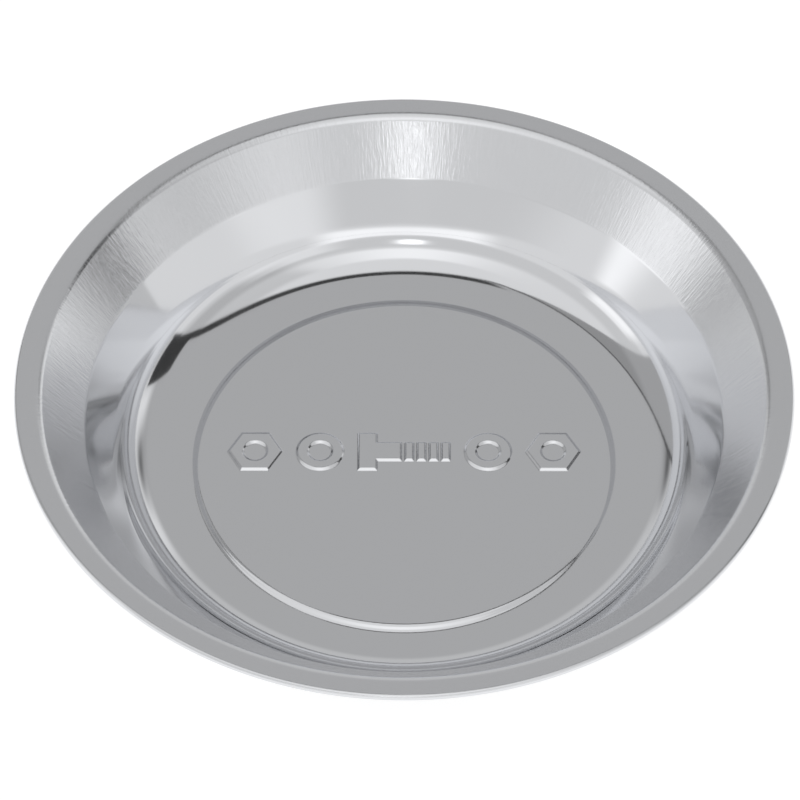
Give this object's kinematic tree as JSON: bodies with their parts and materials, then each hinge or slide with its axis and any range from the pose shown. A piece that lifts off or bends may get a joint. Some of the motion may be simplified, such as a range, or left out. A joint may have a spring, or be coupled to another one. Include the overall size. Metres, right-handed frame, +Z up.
{
  "type": "magnetic parts tray",
  "caption": "Round shallow stainless steel tray with a magnet in a rubber-covered base, for holding small steel parts while working.",
  "frame": {"origin": "centre of the underside, where the rubber base rests on the table", "axes": "+Z up along the dish's axis, out of its open side; +X along the row of raised symbols, from the bolt's head to its end; +Y away from someone reading the row the right way up"},
  "size_m": [0.15, 0.15, 0.038],
  "materials": {
    "stainless_dish": "polished all over inside, with fine draw marks on the upper wall and a satin lip",
    "zinc_fasteners": "bright zinc plated",
    "pressed_steel": "plain zinc plated sheet",
    "ferrite": "matt ground ferrite",
    "adhesive": "cured soft adhesive",
    "boot_rubber": "matt moulded rubber"
  },
  "bodies": {
    "root": {"dish": "stainless_dish", "weld_stud": "zinc_fasteners", "adhesive_ring": "adhesive", "ring_magnet": "ferrite", "steel_cup": "pressed_steel", "flat_washer": "zinc_fasteners", "spring_washer": "zinc_fasteners", "hex_nut": "zinc_fasteners", "rubber_boot": "boot_rubber"}
  },
  "joints": []
}
